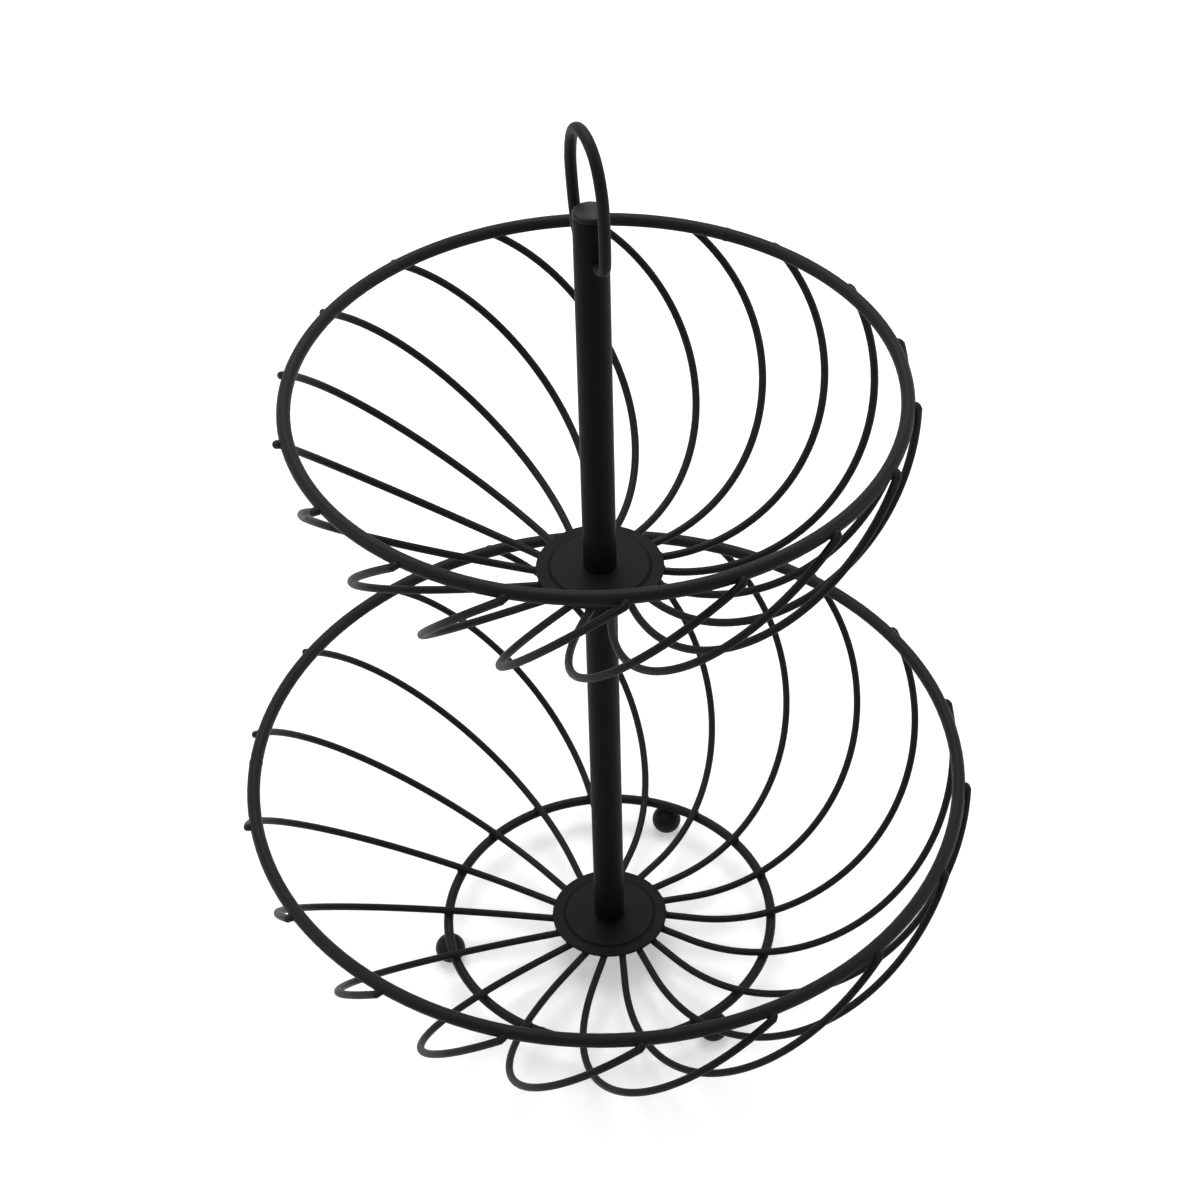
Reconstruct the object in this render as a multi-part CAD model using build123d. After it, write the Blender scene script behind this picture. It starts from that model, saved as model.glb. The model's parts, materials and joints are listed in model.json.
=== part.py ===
from build123d import *
import math
import os

# A two-tier wire basket on a centre post. Each basket is a ring of bent spokes
# welded under a pressed plate and against the outer side of a rim. The post is
# two tubes screwed together through the upper plate, with a wire handle that
# swings in two holes near its top. Three balls under the base ring are the feet.
# The origin is on the post's axis, on the surface that the feet stand on, +Z up.
# Lengths are in millimetres and angles in degrees.

# Welded joints: wires stop this far apart, where the weld bridges them
weld_gap = 0.05

# Spokes of both baskets. Their ends are pressed into the rim's outer side a little
# below its middle. They crowd together towards one side: the sway is how far the
# spoke on that heading stands from its even place
spoke_wire = 3.0
spoke_count = 18
spoke_tip_length = 0.4
spoke_tip_round = 1.0
weld_press_depth = 0.5
weld_drop_height = 0.8
sway_heading = -120.0

# Lower basket
lower_rim_radius = 142.5
lower_rim_wire = 5.3
lower_rim_rise = 93.8
lower_leg_offset = 3.95
lower_leg_start = 13.4
lower_leg_end = 36.75
lower_spoke_turn = 41.1
lower_spoke_heading = 10.8
lower_sway_angle = 2.2

# Upper basket
upper_rim_radius = 111.3
upper_rim_wire = 5.1
upper_rim_rise = 84.9
upper_leg_offset = 5.8
upper_leg_start = 11.9
upper_leg_end = 18.8
upper_spoke_turn = 49.4
upper_spoke_heading = 3.3
upper_sway_angle = 1.4

# Base ring and ball feet
base_ring_radius = 69.3
base_ring_wire = 4.1
foot_count = 3
foot_diameter = 12.7
foot_flat = 0.3
foot_heading = 67.2

# Pressed plates, the same in both baskets. The sheet slopes up from a flat flange to
# a raised pad
plate_diameter = 48.8
plate_sheet = 1.0
plate_edge_round = 0.3
plate_hole = 6.5
flange_width = 4.6
pad_rise = 0.7
pad_slope_width = 1.0
pad_bend_radius = 0.4

# Post tubes
tube_diameter = 12.7
tube_wall = 1.0
tube_end_chamfer = 0.3
lower_post_length = 196.0
upper_post_length = 155.7

# Threaded inserts pressed into the tube ends, and what screws into them
insert_length = 12.0
insert_gap = 0.03
insert_chamfer = 0.4
thread_diameter = 6.0
thread_gap = 0.05
stud_length = 20.0
screw_length = 12.0
screw_head_diameter = 12.0
screw_head_height = 3.5
screw_head_round = 1.0
socket_size = 4.0
socket_depth = 2.0
washer_diameter = 16.0
washer_thickness = 1.2
washer_gap = 0.2

# Cap in the top of the post
cap_height = 2.9
cap_crown_radius = 20.0
cap_edge_round = 1.2
cap_seam_chamfer = 0.3
cap_skirt_length = 8.0
cap_skirt_wall = 1.2
cap_skirt_gap = 0.05

# Handle, measured along its centre line from the pivot
handle_wire = 4.25
handle_height = 49.7
handle_half_width = 15.4
handle_widest_share = 0.56
handle_top_bulge = 1.8
handle_hook_bulge = 1.5
handle_hook_gap = 0.55
handle_pin_end = 1.45
handle_pin_gap = 0.075
handle_heading = -70.0
handle_lean = -2.1
pivot_below_top = 17.1

# One overrun for every cut, and the number of steps in which a spoke is measured
overrun = 2.0
steps = 3000

tube_radius = tube_diameter / 2
bore_radius = tube_radius - tube_wall


# The bend of a spoke. A straight leg lies along X beside the post's axis, and one
# arc, in a plane that leans sideways, lifts the wire from the leg's end to the rim's
# outer side, which it meets when it has turned round the post by the given angle.
# Returns the bend's radius and angle, and the plane's lean.
def spoke_bend(rim_radius, rim_wire, rim_rise, offset, leg_end, turn_degrees):
    turn = math.radians(turn_degrees)
    weld_radius = rim_radius + (rim_wire + spoke_wire) / 2 - weld_press_depth
    outward = weld_radius * math.cos(turn) - leg_end
    sideways = weld_radius * math.sin(turn) - offset
    rise = rim_rise - weld_drop_height
    lean = math.atan2(sideways, rise)
    lift = math.hypot(sideways, rise)
    angle = 2 * math.atan2(lift, outward)
    radius = (outward**2 + lift**2) / (2 * lift)
    return radius, angle, lean


# Points along a spoke's centre line, as distance from the post's axis and height
# above the straight leg
def spoke_points(bend, offset, leg_start, leg_end):
    radius, angle, lean = bend
    points = []
    for step in range(steps + 1):
        along = leg_start + (leg_end - leg_start) * step / steps
        points.append((math.hypot(along, offset), 0))
    for step in range(steps + 1):
        turned = angle * step / steps
        along = leg_end + radius * math.sin(turned)
        lift = radius * (1 - math.cos(turned))
        sideways = offset + lift * math.sin(lean)
        points.append((math.hypot(along, sideways), lift * math.cos(lean)))
    return points


# Height above the straight legs of a ring that the spokes rest on
def ring_seat(points, ring_radius, ring_wire):
    reach = (ring_wire + spoke_wire) / 2 + weld_gap
    return min(
        height - math.sqrt(reach**2 - (distance - ring_radius)**2)
        for distance, height in points
        if abs(distance - ring_radius) < reach
    )


# Height above the straight legs of a plate's underside that rests on the spokes
def plate_seat(points):
    edge = plate_diameter / 2
    highest = max(height for distance, height in points if distance < edge)
    return highest + spoke_wire / 2 + weld_gap


# A spoke whose leg lies along X, with a hollow in its end where the rim presses in
def make_spoke(bend, offset, leg_start, leg_end, pressed_rim):
    radius, angle, lean = bend
    bent_plane = Plane(
        origin=(0, offset, 0),
        x_dir=(1, 0, 0),
        z_dir=(0, -math.cos(lean), math.sin(lean)),
    )
    leg = Line((leg_start, 0), (leg_end, 0))
    swept_angle = math.degrees(angle + spoke_tip_length / radius)
    arc = JernArc(start=leg @ 1, tangent=leg % 1, radius=radius, arc_size=swept_angle)
    path = bent_plane * Wire([leg, arc])
    section = Plane(origin=path @ 0, z_dir=path % 0) * Circle(spoke_wire / 2)
    wire = sweep(section, path=path)
    tip = path @ 1
    tip_edge = wire.edges().sort_by(lambda edge: (edge.center() - tip).length)[0]
    return fillet(tip_edge, spoke_tip_round) - pressed_rim


def make_ring(ring_radius, ring_wire, level):
    return Pos(0, 0, level) * Torus(ring_radius, ring_wire / 2)


# Where one of a basket's spokes points, swayed from its even place
def spoke_heading(first_heading, sway, number):
    even = first_heading + number * 360 / spoke_count
    return even + sway * math.cos(math.radians(even - sway_heading))


def make_foot(number):
    ball = Pos(base_ring_radius, 0, foot_level) * Sphere(foot_diameter / 2)
    standing = split(ball, bisect_by=Plane.XY, keep=Keep.TOP)
    return Rot(0, 0, foot_heading + number * 360 / foot_count) * standing


# A plate, turned from the section of its sheet. On the slope the underside lies
# nearer the axis than the top, so that the sheet keeps its thickness. Each corner is
# a distance from the axis, a height and a bend radius
def make_plate(underside):
    hole_radius = plate_hole / 2
    plate_radius = plate_diameter / 2
    slope_foot = plate_radius - flange_width
    slope_top = slope_foot - pad_slope_width
    shift = plate_sheet * math.tan(math.atan2(pad_rise, pad_slope_width) / 2)
    outer_bend = pad_bend_radius + plate_sheet
    corners = [
        (hole_radius, pad_rise, 0),
        (slope_top - shift, pad_rise, pad_bend_radius),
        (slope_foot - shift, 0, outer_bend),
        (plate_radius, 0, plate_edge_round),
        (plate_radius, plate_sheet, plate_edge_round),
        (slope_foot, plate_sheet, pad_bend_radius),
        (slope_top, pad_rise + plate_sheet, outer_bend),
        (hole_radius, pad_rise + plate_sheet, 0),
    ]
    points = [(distance, height) for distance, height, bend in corners]
    bends = [bend for distance, height, bend in corners]
    section = make_face(FilletPolyline(points, radius=bends, close=True))
    return Pos(0, 0, underside) * revolve(Plane.XZ * section, Axis.Z)


def make_tube(bottom, length):
    upright = (Align.CENTER, Align.CENTER, Align.MIN)
    outside = Cylinder(tube_radius, length, align=upright)
    outside = chamfer(outside.edges().filter_by(GeomType.CIRCLE), tube_end_chamfer)
    bore = Cylinder(bore_radius, length + overrun, align=upright)
    return Pos(0, 0, bottom) * (outside - bore)


# A threaded insert, placed by its lower end
def make_insert(bottom):
    upright = (Align.CENTER, Align.CENTER, Align.MIN)
    body = Cylinder(bore_radius - insert_gap, insert_length, align=upright)
    thread = Cylinder(thread_diameter / 2 + thread_gap, insert_length, align=upright)
    insert = body - thread
    bore_edges = insert.edges().filter_by(GeomType.CIRCLE).group_by(SortBy.RADIUS)[0]
    return Pos(0, 0, bottom) * chamfer(bore_edges, insert_chamfer)


def make_screw(head_top):
    upright = (Align.CENTER, Align.CENTER, Align.MIN)
    hanging = (Align.CENTER, Align.CENTER, Align.MAX)
    head = Cylinder(screw_head_diameter / 2, screw_head_height, align=hanging)
    head = fillet(head.faces().sort_by(Axis.Z)[0].edges(), screw_head_round)
    shank = Cylinder(thread_diameter / 2, screw_length, align=upright)
    socket_outline = Pos(0, 0, -screw_head_height) * RegularPolygon(
        socket_size / 2, 6, major_radius=False
    )
    socket = extrude(socket_outline, socket_depth)
    return Pos(0, 0, head_top) * (head + shank - socket)


def make_washer(top):
    hanging = (Align.CENTER, Align.CENTER, Align.MAX)
    disc = Cylinder(washer_diameter / 2, washer_thickness, align=hanging)
    hole = Cylinder(thread_diameter / 2 + washer_gap, washer_thickness, align=hanging)
    return Pos(0, 0, top) * (disc - hole)


# The cap: a domed head as wide as the tube and a hollow skirt inside it
def make_cap(seat):
    upright = (Align.CENTER, Align.CENTER, Align.MIN)
    hanging = (Align.CENTER, Align.CENTER, Align.MAX)
    crown = Pos(0, 0, cap_height - cap_crown_radius) * Sphere(cap_crown_radius)
    head = Cylinder(tube_radius, cap_height, align=upright) & crown
    crown_edge = head.edges().filter_by(lambda edge: edge.is_closed).sort_by(Axis.Z)[-1]
    head = fillet(crown_edge, cap_edge_round)
    head = chamfer(head.faces().sort_by(Axis.Z)[0].edges(), cap_seam_chamfer)
    skirt_radius = bore_radius - cap_skirt_gap
    skirt = Cylinder(skirt_radius, cap_skirt_length, align=hanging)
    hollow = Cylinder(skirt_radius - cap_skirt_wall, cap_skirt_length, align=hanging)
    return Pos(0, 0, seat) * (head + (skirt - hollow))


# Both ends of the arc about one centre that touches the arc about another centre
# from inside, on the line through the two centres
def touching_point(outer_centre, outer_radius, inner_centre):
    across = inner_centre - outer_centre
    return outer_centre + across.normalized() * outer_radius


# The handle: a pin in each hole, a hook outside the tube, two side arcs and a top
# arc, each tangent to the next, in a plane that holds the hinge axis
def make_handle(pivot_level):
    hook_start = tube_radius + handle_hook_gap
    hook_radius = handle_half_width - hook_start - handle_hook_bulge
    top_radius = handle_half_width - handle_top_bulge
    widest = handle_height * handle_widest_share

    hook_out = handle_half_width - hook_start
    hook_up = widest - hook_radius
    low_side_radius = (hook_out**2 + hook_up**2 - hook_radius**2) / (2 * handle_hook_bulge)
    top_up = handle_height - top_radius - widest
    high_side_radius = (
        handle_half_width**2 + top_up**2 - top_radius**2
    ) / (2 * handle_top_bulge)

    hook_centre = Vector(hook_start, hook_radius)
    low_side_centre = Vector(handle_half_width - low_side_radius, widest)
    high_side_centre = Vector(handle_half_width - high_side_radius, widest)
    top_centre = Vector(0, handle_height - top_radius)
    hook_end = touching_point(low_side_centre, low_side_radius, hook_centre)
    side_end = touching_point(high_side_centre, high_side_radius, top_centre)

    pin = Line((bore_radius - handle_pin_end, 0), (hook_start, 0))
    hook = TangentArc(pin @ 1, hook_end, tangent=pin % 1)
    low_side = TangentArc(hook @ 1, (handle_half_width, widest), tangent=hook % 1)
    high_side = TangentArc(low_side @ 1, side_end, tangent=low_side % 1)
    top = TangentArc(high_side @ 1, (-side_end.X, side_end.Y), tangent=high_side % 1)
    half = [pin, hook, low_side, high_side]
    other_half = [edge.mirror(Plane.YZ) for edge in reversed(half)]

    hinge_plane = Plane(
        origin=(0, 0, pivot_level),
        x_dir=(1, 0, 0),
        z_dir=(0, -math.cos(math.radians(handle_lean)), math.sin(math.radians(handle_lean))),
    )
    outline = Wire(half + [top] + other_half)
    path = Rot(0, 0, handle_heading) * (hinge_plane * outline)
    section = Plane(origin=path @ 0, z_dir=path % 0) * Circle(handle_wire / 2)
    wire = sweep(section, path=path)
    print("handle length", path.length, "volume share", wire.volume / (section.area * path.length))
    return wire


# A straight round bar along the hinge axis, through both walls of the tube
def hinge_bore(pivot_level):
    bore = Cylinder(
        handle_wire / 2 + handle_pin_gap,
        tube_diameter + overrun,
        rotation=(0, 90, 0),
    )
    return Pos(0, 0, pivot_level) * (Rot(0, 0, handle_heading) * bore)


# Heights, from the surface up
foot_level = foot_diameter / 2 - foot_flat
base_ring_level = foot_level + (foot_diameter + base_ring_wire) / 2 + weld_gap

lower_bend = spoke_bend(
    lower_rim_radius,
    lower_rim_wire,
    lower_rim_rise,
    lower_leg_offset,
    lower_leg_end,
    lower_spoke_turn,
)
lower_points = spoke_points(lower_bend, lower_leg_offset, lower_leg_start, lower_leg_end)
lower_leg_level = base_ring_level - ring_seat(lower_points, base_ring_radius, base_ring_wire)
lower_plate_level = lower_leg_level + plate_seat(lower_points)
lower_rim_level = lower_leg_level + lower_rim_rise

lower_post_level = lower_plate_level + pad_rise + plate_sheet
lower_post_top = lower_post_level + lower_post_length

upper_bend = spoke_bend(
    upper_rim_radius,
    upper_rim_wire,
    upper_rim_rise,
    upper_leg_offset,
    upper_leg_end,
    upper_spoke_turn,
)
upper_points = spoke_points(upper_bend, upper_leg_offset, upper_leg_start, upper_leg_end)
upper_plate_level = lower_post_top - pad_rise
upper_leg_level = upper_plate_level - plate_seat(upper_points)
upper_rim_level = upper_leg_level + upper_rim_rise

upper_post_level = upper_plate_level + pad_rise + plate_sheet
upper_post_top = upper_post_level + upper_post_length
pivot_level = upper_post_top - pivot_below_top

# The pieces
pieces = {}
pieces["base_ring"] = make_ring(base_ring_radius, base_ring_wire, base_ring_level)
for number in range(foot_count):
    pieces[f"foot_{number + 1}"] = make_foot(number)

pieces["lower_rim"] = make_ring(lower_rim_radius, lower_rim_wire, lower_rim_level)
pieces["upper_rim"] = make_ring(upper_rim_radius, upper_rim_wire, upper_rim_level)
pressed_lower_rim = make_ring(lower_rim_radius, lower_rim_wire + 2 * weld_gap, lower_rim_rise)
pressed_upper_rim = make_ring(upper_rim_radius, upper_rim_wire + 2 * weld_gap, upper_rim_rise)
lower_spoke = Pos(0, 0, lower_leg_level) * make_spoke(
    lower_bend, lower_leg_offset, lower_leg_start, lower_leg_end, pressed_lower_rim
)
upper_spoke = Pos(0, 0, upper_leg_level) * make_spoke(
    upper_bend, upper_leg_offset, upper_leg_start, upper_leg_end, pressed_upper_rim
)
for number in range(spoke_count):
    label = f"spoke_{number + 1:02d}"
    lower_heading = spoke_heading(lower_spoke_heading, lower_sway_angle, number)
    upper_heading = spoke_heading(upper_spoke_heading, upper_sway_angle, number)
    pieces["lower_" + label] = Rot(0, 0, lower_heading) * lower_spoke
    pieces["upper_" + label] = Rot(0, 0, upper_heading) * upper_spoke

pieces["lower_plate"] = make_plate(lower_plate_level)
pieces["upper_plate"] = make_plate(upper_plate_level)
pieces["lower_post"] = make_tube(lower_post_level, lower_post_length)
pieces["upper_post"] = make_tube(upper_post_level, upper_post_length) - hinge_bore(pivot_level)
pieces["lower_post_bottom_insert"] = make_insert(lower_post_level)
pieces["lower_post_top_insert"] = make_insert(lower_post_top - insert_length)
pieces["upper_post_insert"] = make_insert(upper_post_level)
pieces["joining_stud"] = Pos(0, 0, lower_post_top + plate_sheet / 2) * Cylinder(
    thread_diameter / 2, stud_length
)
washer_top = lower_plate_level + pad_rise
pieces["bottom_washer"] = make_washer(washer_top)
pieces["bottom_screw"] = make_screw(washer_top - washer_thickness)
pieces["post_cap"] = make_cap(upper_post_top)
pieces["handle"] = make_handle(pivot_level)

os.makedirs("parts", exist_ok=True)
for name, piece in pieces.items():
    export_step(piece, f"parts/{name}.step")

print("base ring", base_ring_level, "lower legs", lower_leg_level, "lower rim", lower_rim_level)
print("upper legs", upper_leg_level, "upper rim", upper_rim_level)
print("lower bend", lower_bend, "upper bend", upper_bend)
print("lower spoke volume", lower_spoke.volume, "upper spoke volume", upper_spoke.volume)
print("upper post top", upper_post_top, "pivot", pivot_level)
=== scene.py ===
import json
import math

import bpy
import numpy as np
from mathutils import Matrix, Vector


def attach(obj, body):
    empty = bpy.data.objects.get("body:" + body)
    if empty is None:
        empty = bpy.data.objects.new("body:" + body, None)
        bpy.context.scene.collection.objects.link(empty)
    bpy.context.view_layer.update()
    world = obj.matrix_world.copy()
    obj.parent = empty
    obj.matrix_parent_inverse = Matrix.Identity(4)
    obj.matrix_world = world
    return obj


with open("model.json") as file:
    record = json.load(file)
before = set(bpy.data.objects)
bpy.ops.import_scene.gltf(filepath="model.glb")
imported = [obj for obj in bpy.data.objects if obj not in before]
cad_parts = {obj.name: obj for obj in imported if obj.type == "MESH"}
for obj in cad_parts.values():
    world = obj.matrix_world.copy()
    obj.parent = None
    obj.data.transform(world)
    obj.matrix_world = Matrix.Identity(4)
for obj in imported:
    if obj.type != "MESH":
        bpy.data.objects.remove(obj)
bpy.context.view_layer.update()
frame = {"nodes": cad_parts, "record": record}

mm = 0.001
record = frame["record"]
nodes = frame["nodes"]
spokeCount = sum(name.startswith("lower_spoke") for name in nodes)
print("frame loaded:", len(nodes), "nodes")


# Small helpers for colours, nodes and meshes

def srgbToLinear(hexColour):
    # each channel of a #rrggbb colour, from the screen's curve to linear light
    parts = [int(hexColour[i:i + 2], 16) / 255 for i in (1, 3, 5)]
    linear = [c / 12.92 if c <= 0.04045 else ((c + 0.055) / 1.055) ** 2.4 for c in parts]
    return (*linear, 1.0)


def addNode(tree, kind, settings=None, inputs=None, links=None):
    # one node with its settings, socket values and incoming links
    node = tree.nodes.new(kind)
    for name, value in (settings or {}).items():
        setattr(node, name, value)
    for name, value in (inputs or {}).items():
        node.inputs[name].default_value = value
    for name, source in (links or {}).items():
        tree.links.new(source, node.inputs[name])
    return node


def newMaterial(name):
    # an empty material, and the place on the part in metres that its patterns follow
    material = bpy.data.materials.new(name)
    material.use_nodes = True
    tree = material.node_tree
    tree.nodes.clear()
    place = addNode(tree, "ShaderNodeTexCoord").outputs["Object"]
    return material, tree, place


def noise(tree, place, size, detail, roughness=0.5):
    # soft random patches of about the given size
    patches = addNode(tree, "ShaderNodeTexNoise", {"noise_dimensions": "3D"},
                      {"Scale": 1 / size, "Detail": detail, "Roughness": roughness},
                      {"Vector": place})
    return patches.outputs["Fac"]


def rescale(tree, value, ends, results=(0, 1)):
    # a value carried from one pair of ends to another, and held beyond both
    carried = addNode(tree, "ShaderNodeMapRange", None,
                      {"From Min": ends[0], "From Max": ends[1],
                       "To Min": results[0], "To Max": results[1]}, {"Value": value})
    return carried.outputs["Result"]


def relief(tree, height, depth, strength=1.0, under=None):
    # bumps of the given depth, laid over another relief where there is one
    links = {"Height": height}
    if under is not None:
        links["Normal"] = under
    bumps = addNode(tree, "ShaderNodeBump", None, {"Strength": strength, "Distance": depth}, links)
    return bumps.outputs["Normal"]


mixSockets = {"factor": 0, "first": 6, "second": 7, "result": 2}  # those of a mix of colours


def mixColours(tree, first, second, factor, blend="MIX"):
    # each of the three is a fixed value or another node's output
    mix = addNode(tree, "ShaderNodeMix", {"data_type": "RGBA", "blend_type": blend})
    for name, value in (("factor", factor), ("first", first), ("second", second)):
        socket = mix.inputs[mixSockets[name]]
        if isinstance(value, bpy.types.NodeSocket):
            tree.links.new(value, socket)
        else:
            socket.default_value = value
    return mix.outputs[mixSockets["result"]]


# Painted shade round a plate's pad: the slope round the pad is drawn darkest, standing in for the
# shade in the step,
# and the flange outside it a little dark: shares of the coat's colour, blended over a short way at
# each edge of the slope
padShade = {
    "plateRadius": 24.4 * mm, "flangeWidth": 4.6 * mm, "slopeWidth": 1.0 * mm,
    "blend": 0.5 * mm, "blendInSlope": 0.1 * mm, "slopeShare": 0.3, "flangeShare": 0.8,
}


def padShadeStops(values):
    # distances from the post's axis, each with its share of the colour
    slopeEnd = values["plateRadius"] - values["flangeWidth"]
    slopeStart = slopeEnd - values["slopeWidth"]
    darkFrom = slopeStart + values["blendInSlope"]
    darkTo = slopeEnd - values["blendInSlope"]
    return ((darkFrom - values["blend"], 1.0), (darkFrom, values["slopeShare"]),
            (darkTo, values["slopeShare"]), (darkTo + values["blend"], values["flangeShare"]),
            (values["plateRadius"], values["flangeShare"]))


def shadeByRadius(tree, place, colour, shadeStops):
    # painted shade: the colour times a share that depends on the distance from the post's axis
    flat = addNode(tree, "ShaderNodeVectorMath", {"operation": "MULTIPLY"})
    tree.links.new(place, flat.inputs[0])
    flat.inputs[1].default_value = (1, 1, 0)
    radius = addNode(tree, "ShaderNodeVectorMath", {"operation": "LENGTH"})
    tree.links.new(flat.outputs["Vector"], radius.inputs[0])
    reach = shadeStops[-1][0]
    ramp = addNode(tree, "ShaderNodeValToRGB", None, None,
                   {"Fac": rescale(tree, radius.outputs["Value"], (0, reach))})
    elements = ramp.color_ramp.elements
    while len(elements) < len(shadeStops):
        elements.new(1.0)
    for element, (distance, share) in zip(elements, shadeStops):
        element.position = distance / reach
        element.color = (share, share, share, 1.0)
    return mixColours(tree, colour, ramp.outputs["Color"], 1.0, "MULTIPLY")


# Polyester powder coat on steel, sprayed and baked: nearly black with a soft sheen
# over a fine grit, and a slow unevenness in tone and sheen
coat = {
    "dark": "#0f0f10", "light": "#18181a", "roughness": (0.42, 0.56), "specular": 0.09, "ior": 1.5,
    "cloud": 22 * mm, "cloudDetail": 3.0, "cloudRoughness": 0.55, "cloudEnds": (0.3, 0.7),
    "peel": 2.2 * mm, "peelDetail": 2.0, "peelDepth": 0.05 * mm,
    "grit": 0.45 * mm, "gritDetail": 2.0, "gritRoughness": 0.6, "gritDepth": 0.035 * mm,
}


def powderCoat(name, values):
    material, tree, place = newMaterial(name)
    cloud = noise(tree, place, values["cloud"], values["cloudDetail"], values["cloudRoughness"])
    colour = mixColours(tree, srgbToLinear(values["dark"]), srgbToLinear(values["light"]), cloud)
    # painted shade round the plates' pad, where the coat is given these stops
    if "shadeStops" in values:
        colour = shadeByRadius(tree, place, colour, values["shadeStops"])
    peel = noise(tree, place, values["peel"], values["peelDetail"])
    grit = noise(tree, place, values["grit"], values["gritDetail"], values["gritRoughness"])
    peeled = relief(tree, peel, values["peelDepth"])
    shader = addNode(tree, "ShaderNodeBsdfPrincipled", None,
                     {"IOR": values["ior"], "Specular IOR Level": values["specular"]},
                     {"Base Color": colour,
                      "Roughness": rescale(tree, cloud, values["cloudEnds"], values["roughness"]),
                      "Normal": relief(tree, grit, values["gritDepth"], under=peeled)})
    addNode(tree, "ShaderNodeOutputMaterial", None, None, {"Surface": shader.outputs["BSDF"]})
    return material


# The same coat, a little bluer on the plates' flat sheet, and on the tube darker, as painted
# shade, and duller
wireCoat = powderCoat("polyesterPowderCoatOnWire", coat)
sheetCoat = powderCoat("polyesterPowderCoatOnSheet",
                       {**coat, "dark": "#0f0f11", "light": "#18181b", "specular": 0.055,
                        "cloud": 14 * mm, "shadeStops": padShadeStops(padShade)})
# the tube's darker colours are painted shade on the upright post
shadedTubeCoat = powderCoat("polyesterPowderCoatOnTube",
                      {**coat, "dark": "#0c0c0d", "light": "#131314", "specular": 0.05,
                       "cloud": 30 * mm})

# Injection-moulded black polypropylene: a plug with an even, fine spark-eroded grain
capGrain = {
    "colour": "#171718", "roughness": (0.36, 0.46), "specular": 0.14, "ior": 1.49,
    "grain": 0.35 * mm, "grainDepth": 0.02 * mm, "streak": 5 * mm, "streakDetail": 2.0,
}


def mouldedPlastic(name, values):
    material, tree, place = newMaterial(name)
    grain = addNode(tree, "ShaderNodeTexVoronoi", {"feature": "F1"},
                    {"Scale": 1 / values["grain"]}, {"Vector": place})
    streak = noise(tree, place, values["streak"], values["streakDetail"])
    shader = addNode(tree, "ShaderNodeBsdfPrincipled", None,
                     {"Base Color": srgbToLinear(values["colour"]), "IOR": values["ior"],
                      "Specular IOR Level": values["specular"]},
                     {"Roughness": rescale(tree, streak, (0, 1), values["roughness"]),
                      "Normal": relief(tree, grain.outputs["Distance"], values["grainDepth"])})
    addNode(tree, "ShaderNodeOutputMaterial", None, None, {"Surface": shader.outputs["BSDF"]})
    return material


capPlastic = mouldedPlastic("mouldedPolypropyleneBlack", capGrain)

# Bright zinc plating on turned steel: pale grey metal with turning marks and a dull
# bloom. The marks are drawn coarser than real ones, so that they show
plating = {
    "bloom": "#8d9193", "bright": "#b4b8ba", "roughness": (0.45, 0.28),  # bloom first
    "spot": 3 * mm, "spotDetail": 4.0, "mark": 0.3 * mm, "markDepth": 0.01 * mm,
    "markStrength": 0.6, "waver": 0.4, "unitRing": 0.314,  # a wave ring's width at scale 1
}


def zincPlating(name, values):
    material, tree, place = newMaterial(name)
    spot = noise(tree, place, values["spot"], values["spotDetail"])
    colour = mixColours(tree, srgbToLinear(values["bloom"]), srgbToLinear(values["bright"]), spot)
    marks = addNode(tree, "ShaderNodeTexWave", {"wave_type": "RINGS", "rings_direction": "Z"},
                    {"Scale": values["unitRing"] / values["mark"], "Distortion": values["waver"]},
                    {"Vector": place})
    turned = relief(tree, marks.outputs["Fac"], values["markDepth"], values["markStrength"])
    shader = addNode(tree, "ShaderNodeBsdfPrincipled", None, {"Metallic": 1.0},
                     {"Base Color": colour, "Normal": turned,
                      "Roughness": rescale(tree, spot, (0, 1), values["roughness"])})
    addNode(tree, "ShaderNodeOutputMaterial", None, None, {"Surface": shader.outputs["BSDF"]})
    return material


zinc = zincPlating("brightZincPlating", plating)


def finishOf(node):
    slot = next(s["material_slot"] for s in record["subparts"] if s["node"] == node)
    if slot == "zinc_steel":
        return zinc
    if slot == "black_plastic":
        return capPlastic
    if "plate" in node:
        return sheetCoat
    if "post" in node:
        return shadedTubeCoat
    return wireCoat


for name, obj in nodes.items():
    obj.data.materials.clear()
    obj.data.materials.append(finishOf(name))
print("materials assigned")


# What the welds need to know of the wires, read from the frame's own meshes

def nodePoints(name):
    # all corner points of a node in world space
    mesh = nodes[name].data
    flat = np.empty(len(mesh.vertices) * 3)
    mesh.vertices.foreach_get("co", flat)
    turn = np.array(nodes[name].matrix_world)
    return flat.reshape(-1, 3) @ turn[:3, :3].T + turn[:3, 3]


def ringOf(name):
    # radius to the wire's centre line, wire radius and height of a ring node
    points = nodePoints(name)
    low, high = points.min(0), points.max(0)
    wire = (high[2] - low[2]) / 2
    return {"radius": (high[0] - low[0]) / 2 - wire, "wire": wire, "level": (high[2] + low[2]) / 2}


def crossingAt(points, radius, reach):
    # Where a spoke crosses a circle and how far it swings from straight outward: on the
    # line from the middle of its nearest corner points inside the circle to the middle
    # of its nearest ones outside
    distance = np.hypot(points[:, 0], points[:, 1])
    inside = distance[distance < radius - reach].max()
    outside = distance[distance > radius + reach].min()
    first = points[np.abs(distance - inside) < reach].mean(0)[:2]
    second = points[np.abs(distance - outside) < reach].mean(0)[:2]
    share = (radius - np.hypot(*first)) / (np.hypot(*second) - np.hypot(*first))
    place = first + share * (second - first)
    heading = math.atan2(place[1], place[0])
    course = second - first
    return heading, math.atan2(course[1], course[0]) - heading


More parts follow.
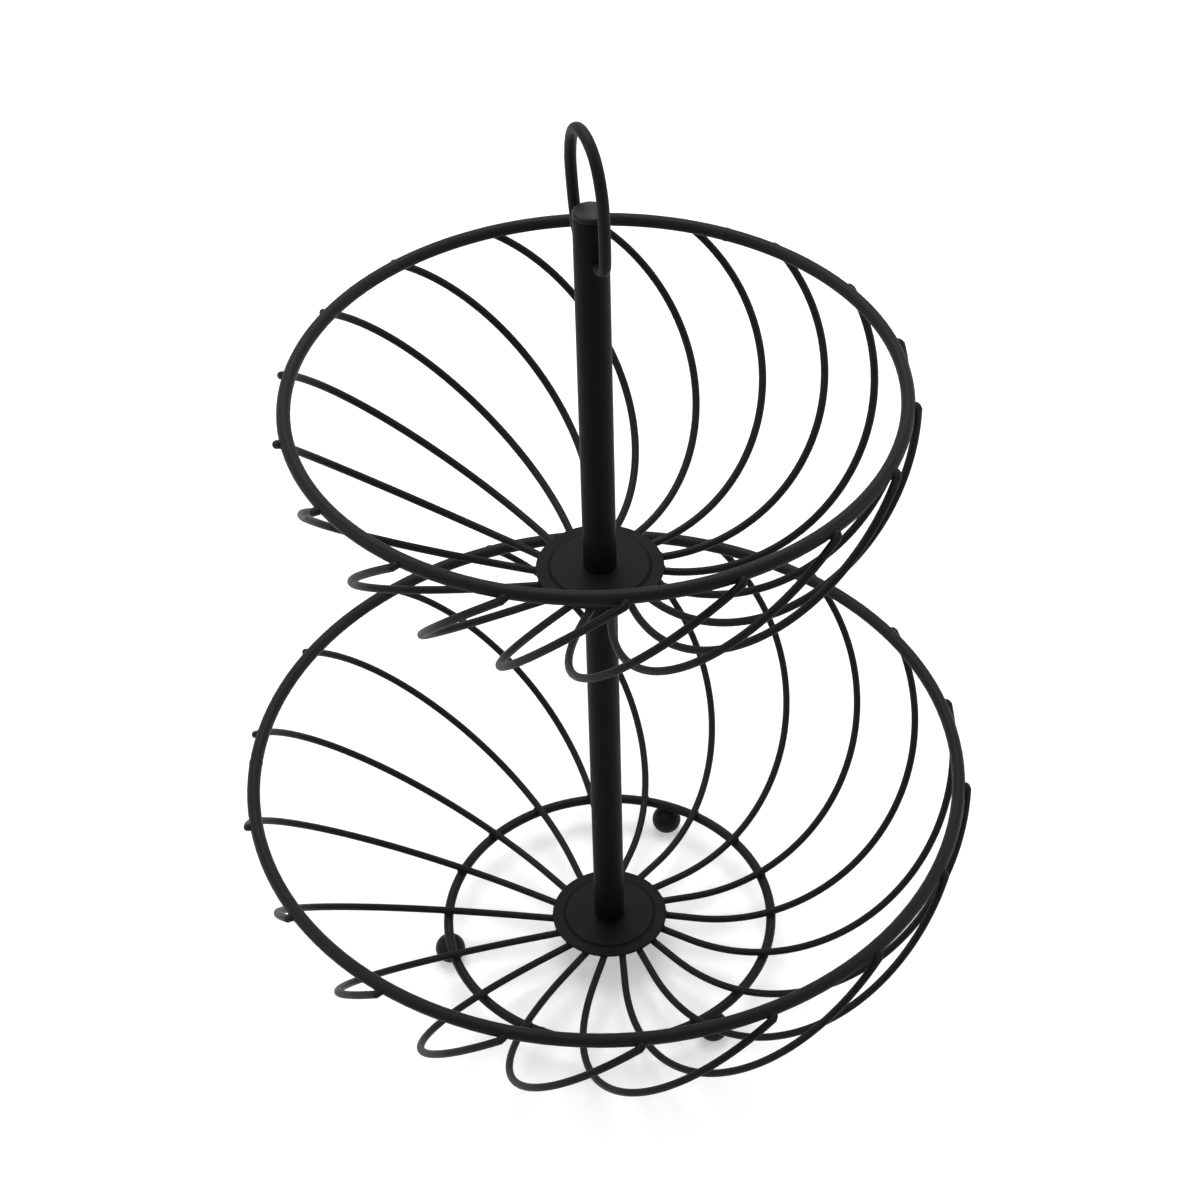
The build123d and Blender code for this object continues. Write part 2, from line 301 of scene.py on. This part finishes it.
def radialFrames(headings):
    # outward, sideways and upward unit directions at each heading
    flat = np.zeros_like(headings)
    outward = np.stack([np.cos(headings), np.sin(headings), flat], 1)
    sideways = np.stack([-np.sin(headings), np.cos(headings), flat], 1)
    upward = np.stack([flat, flat, flat + 1], 1)
    return outward, sideways, upward


# Weld beads: the steel squeezed out between two wires pressed together, coated over
beadShape = {"around": 20, "down": 9, "ripple": 0.05, "lobes": 3}


def beads(name, centres, longSide, crossSide, normal, halfSizes):
    # One closed ball per bead, stretched along its three directions:
    # point = centre + size * unit ball point, with the ball's radius swollen by
    # 1 + ripple * sin(lobes * angle round + bead number) * sin(angle down)
    around, down = beadShape["around"], beadShape["down"]
    count = len(centres)
    spin = np.linspace(0, 2 * math.pi, around, endpoint=False)
    drop = np.linspace(0, math.pi, down + 2)[1:-1]
    drop, spin = np.meshgrid(drop, spin, indexing="ij")
    ring = np.stack([np.sin(drop) * np.cos(spin), np.sin(drop) * np.sin(spin), np.cos(drop)], 2)
    number = np.arange(count)[:, None, None]
    swell = 1 + beadShape["ripple"] * np.sin(beadShape["lobes"] * spin + number) * np.sin(drop)
    body = (ring[None] * swell[..., None]).reshape(count, -1, 3)
    poles = np.tile([[0, 0, 1.0], [0, 0, -1.0]], (count, 1, 1))
    ball = np.concatenate([body, poles], 1) * np.array(halfSizes)
    axes = np.stack([longSide, crossSide, normal], 1)
    points = np.einsum("bpk,bkx->bpx", ball, axes) + centres[:, None]

    row = np.arange(around)
    nextColumn = (row + 1) % around
    upper = np.arange(down - 1)[:, None] * around
    quads = np.stack([upper + row, upper + around + row,
                      upper + around + nextColumn, upper + nextColumn], 2).reshape(-1, 4)
    topPole = down * around
    last = (down - 1) * around
    topFan = np.stack([np.full(around, topPole), row, nextColumn], 1)
    lowFan = np.stack([np.full(around, topPole + 1), last + nextColumn, last + row], 1)
    perBead = topPole + 2
    faces = []
    for first in range(0, count * perBead, perBead):
        faces += (quads + first).tolist() + (topFan + first).tolist() + (lowFan + first).tolist()
    return newPiece(name, points.reshape(-1, 3), faces)


def newPiece(name, points, faces):
    mesh = bpy.data.meshes.new(name)
    mesh.from_pydata(points.tolist(), [], faces)
    mesh.shade_smooth()
    mesh.materials.append(wireCoat)
    piece = bpy.data.objects.new(name, mesh)
    bpy.context.scene.collection.objects.link(piece)
    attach(piece, "basket")
    return piece


# Spokes' ends against the rims: beads that round each cut end off towards the rim. The
# climb is the angle in degrees at which a spoke's end rises along the rim
rimWeld = {"climb": {"lower": 37.3, "upper": 34.0}, "halfSizes": (2.3 * mm, 1.7 * mm, 2.5 * mm),
           "inset": 0.3 * mm, "drop": 0.9 * mm, "tipReach": 3.0 * mm}


def weldRim(tier, values):
    rim = ringOf(tier + "_rim")
    headings = []
    for number in range(spokeCount):
        points = nodePoints(f"{tier}_spoke_{number + 1:02d}")
        top = points[points[:, 2].argmax()]
        tip = points[np.linalg.norm(points - top, axis=1) < values["tipReach"]]
        headings.append(math.atan2(tip[:, 1].mean(), tip[:, 0].mean()))
    outward, sideways, upward = radialFrames(np.array(headings))
    climb = math.radians(values["climb"][tier])
    longSide = math.cos(climb) * sideways + math.sin(climb) * upward
    crossSide = np.cross(outward, longSide)
    centres = outward * (rim["radius"] + rim["wire"] - values["inset"])
    centres += upward * (rim["level"] - values["drop"])
    beads(tier + "RimWelds", centres, longSide, crossSide, outward, values["halfSizes"])


# Spokes' legs over the base ring and under the plates: small round beads
legWeld = {"ringHalf": (1.9 * mm, 2.1 * mm, 0.8 * mm), "plateHalf": (2.4 * mm, 1.8 * mm, 0.6 * mm),
           "plateInset": 1.8 * mm, "reach": 1.2 * mm}


def weldLegs(name, tier, radius, level, halfSizes):
    found = [crossingAt(nodePoints(f"{tier}_spoke_{number + 1:02d}"), radius, legWeld["reach"])
             for number in range(spokeCount)]
    headings, swings = np.array(found).T
    outward, sideways, upward = radialFrames(headings)
    along = np.cos(swings)[:, None] * outward + np.sin(swings)[:, None] * sideways
    across = np.cross(upward, along)
    beads(name, outward * radius + upward * level, along, across, upward, halfSizes)


# Ball feet under the base ring: one bead that rings the top of each ball
footWeld = {"halfSizes": (3.0 * mm, 2.3 * mm, 0.9 * mm)}


def weldFeet(values):
    ring = ringOf("base_ring")
    feet = [nodePoints(name).mean(0) for name in sorted(nodes) if name.startswith("foot_")]
    headings = np.array([math.atan2(foot[1], foot[0]) for foot in feet])
    outward, sideways, upward = radialFrames(headings)
    centres = outward * ring["radius"] + upward * (ring["level"] - ring["wire"])
    beads("footWelds", centres, sideways, -outward, upward, values["halfSizes"])


# Butt welds that close the three rings, ground down to a faint swelling
seam = {"length": 4.0 * mm, "swell": 0.18 * mm, "sink": 0.06 * mm, "around": 40, "along": 15,
        "headings": {"lower_rim": 178.0, "upper_rim": 62.0, "base_ring": 245.0}}


def weldSeam(name, headingDegrees, values):
    # A closed sleeve carried along the ring: at share s from -1 to 1 of its half length
    # its radius is wire - sink + (swell + sink) * cos(s * 90 degrees) squared, and both
    # ends close on a middle point inside the wire
    ring = ringOf(name)
    spin = np.linspace(0, 2 * math.pi, values["around"], endpoint=False)
    share = np.linspace(-1, 1, values["along"])
    radius = ring["wire"] - values["sink"]
    radius = radius + (values["swell"] + values["sink"]) * np.cos(share * math.pi / 2) ** 2
    heading = math.radians(headingDegrees) + share * values["length"] / 2 / ring["radius"]
    outward, _, upward = radialFrames(heading)
    spread = (np.cos(spin)[None, :, None] * outward[:, None]
              + np.sin(spin)[None, :, None] * upward[:, None])
    middle = outward * ring["radius"] + upward * ring["level"]
    skin = middle[:, None] + spread * radius[:, None, None]
    points = np.concatenate([skin.reshape(-1, 3), middle[[0, -1]]])

    around, rows = values["around"], values["along"]
    column = np.arange(around)
    following = (column + 1) % around
    start = np.arange(rows - 1)[:, None] * around
    quads = np.stack([start + column, start + following,
                      start + around + following, start + around + column], 2).reshape(-1, 4)
    firstCap = np.stack([np.full(around, rows * around), following, column], 1)
    last = (rows - 1) * around
    lastCap = np.stack([np.full(around, rows * around + 1), last + column, last + following], 1)
    faces = quads[:, ::-1].tolist() + firstCap[:, ::-1].tolist() + lastCap[:, ::-1].tolist()
    side, word = name.split("_")
    newPiece(side + word.capitalize() + "Seam", points, faces)


for tier in ("lower", "upper"):
    weldRim(tier, rimWeld)
    plate = nodePoints(tier + "_plate")
    plateRadius = plate[:, 0].max() - legWeld["plateInset"]
    weldLegs(tier + "PlateWelds", tier, plateRadius, plate[:, 2].min(), legWeld["plateHalf"])
baseRing = ringOf("base_ring")
weldLegs("baseRingWelds", "lower", baseRing["radius"], baseRing["level"] + baseRing["wire"],
         legWeld["ringHalf"])
weldFeet(footWeld)
for name, heading in seam["headings"].items():
    weldSeam(name, heading, seam)
print("welds made")


# Floor, light and camera

studio = {
    "floorRadius": 6.0, "sides": 96, "floorDrop": 0.02 * mm,
    "floorColour": "#e9e9e9", "floorGlow": 0.36,  # the glow lifts the lit paper to white
    "fadeEnds": (0.6, 1.6), "fillLight": 0.3,
}
fullWhite = (1, 1, 1, 1)


def backgroundRay(tree):
    # 1 for rays from the camera and for those that a shiny or clear surface sends on
    path = addNode(tree, "ShaderNodeLightPath").outputs
    seen = path["Is Camera Ray"]
    for other in ("Is Glossy Ray", "Is Transmission Ray"):
        larger = addNode(tree, "ShaderNodeMath", {"operation": "MAXIMUM"})
        tree.links.new(seen, larger.inputs[0])
        tree.links.new(path[other], larger.inputs[1])
        seen = larger.outputs["Value"]
    return seen


def mixShaders(tree, first, second, factor):
    mix = addNode(tree, "ShaderNodeMixShader", None, None, {"Fac": factor})
    tree.links.new(first, mix.inputs[1])
    tree.links.new(second, mix.inputs[2])
    return mix.outputs["Shader"]


def whitePaper(values):
    # White paper that takes shadows. To the camera it also glows, and between the two
    # ends of the fade, measured from the origin, it turns into the white background
    material, tree, place = newMaterial("whitePaperSweep")
    paper = addNode(tree, "ShaderNodeBsdfDiffuse", None,
                    {"Color": srgbToLinear(values["floorColour"])}).outputs["BSDF"]
    glow, white = [addNode(tree, "ShaderNodeEmission", None,
                           {"Color": fullWhite, "Strength": strength}).outputs["Emission"]
                   for strength in (values["floorGlow"], 1.0)]
    lit = addNode(tree, "ShaderNodeAddShader")
    tree.links.new(paper, lit.inputs[0])
    tree.links.new(glow, lit.inputs[1])
    distance = addNode(tree, "ShaderNodeVectorMath", {"operation": "LENGTH"})
    tree.links.new(place, distance.inputs[0])
    fade = rescale(tree, distance.outputs["Value"], values["fadeEnds"])
    swept = mixShaders(tree, lit.outputs["Shader"], white, fade)
    surface = mixShaders(tree, paper, swept, backgroundRay(tree))
    addNode(tree, "ShaderNodeOutputMaterial", None, None, {"Surface": surface})
    return material


def makeFloor(values):
    # a flat disc about the origin, just under the feet
    angle = np.linspace(0, 2 * math.pi, values["sides"], endpoint=False)
    edge = np.stack([np.cos(angle), np.sin(angle), np.zeros(values["sides"])], 1)
    edge = edge * values["floorRadius"]
    edge[:, 2] = -values["floorDrop"]
    mesh = bpy.data.meshes.new("studioFloor")
    mesh.from_pydata(edge.tolist(), [], [list(range(values["sides"]))])
    mesh.materials.append(whitePaper(values))
    floor = bpy.data.objects.new("studioFloor", mesh)
    bpy.context.scene.collection.objects.link(floor)


def makeWorld(values):
    # full white where it is seen, and dimmer as a light
    world = bpy.data.worlds.new("studioWorld")
    bpy.context.scene.world = world
    world.use_nodes = True
    tree = world.node_tree
    tree.nodes.clear()
    dim, white = [addNode(tree, "ShaderNodeBackground", None,
                          {"Color": fullWhite, "Strength": strength}).outputs["Background"]
                  for strength in (values["fillLight"], 1.0)]
    surface = mixShaders(tree, dim, white, backgroundRay(tree))
    addNode(tree, "ShaderNodeOutputWorld", None, None, {"Surface": surface})


makeFloor(studio)
makeWorld(studio)

# Round softboxes: places, aims and sizes in metres, power in watts
lamps = {
    "overheadSoftbox": {"place": (-0.1, 0.7, 1.8), "aim": (0, 0, 0.15), "size": 1.5, "power": 27},
    "leftSoftbox": {"place": (-1.6, -0.2, 1.0), "aim": (0, 0, 0.2), "size": 0.7, "power": 9},
    "rightFill": {"place": (1.6, 0.1, 1.0), "aim": (0, 0, 0.2), "size": 0.7, "power": 7},
}


def makeLamp(name, lamp):
    data = bpy.data.lights.new(name, "AREA")
    data.shape = "DISK"
    data.size = lamp["size"]
    data.energy = lamp["power"]
    light = bpy.data.objects.new(name, data)
    bpy.context.scene.collection.objects.link(light)
    light.location = lamp["place"]
    away = Vector(lamp["place"]) - Vector(lamp["aim"])
    light.rotation_euler = away.to_track_quat("Z", "Y").to_euler()


for name, lamp in lamps.items():
    makeLamp(name, lamp)

# The photograph's view, solved from its rims, rings and post: angles in radians, and
# the focal length as a share of the picture's width
view = {"place": (0, -0.7326, 0.8464), "yaw": -0.0005, "pitch": 0.7261, "roll": -0.0277,
        "focalShare": 2.13, "sensorWidth": 36, "nearest": 50 * mm, "farthest": 50}


def makeCamera(values):
    # forward from yaw and pitch, then right and down turned by the roll about forward
    yaw, pitch, roll = values["yaw"], values["pitch"], values["roll"]
    forward = Vector((math.sin(yaw) * math.cos(pitch), math.cos(yaw) * math.cos(pitch),
                      -math.sin(pitch)))
    level = Vector((math.cos(yaw), -math.sin(yaw), 0))
    down = forward.cross(level)
    right = math.cos(roll) * level - math.sin(roll) * down
    lower = math.sin(roll) * level + math.cos(roll) * down
    data = bpy.data.cameras.new("photoCamera")
    data.sensor_width = values["sensorWidth"]
    data.lens = values["sensorWidth"] * values["focalShare"]
    data.clip_start = values["nearest"]
    data.clip_end = values["farthest"]
    camera = bpy.data.objects.new("photoCamera", data)
    bpy.context.scene.collection.objects.link(camera)
    turn = Matrix((right, -lower, -forward)).transposed().to_4x4()
    camera.matrix_world = Matrix.Translation(values["place"]) @ turn
    bpy.context.scene.camera = camera


makeCamera(view)
bpy.context.scene.view_settings.view_transform = "Standard"
print("floor, light and camera ready")
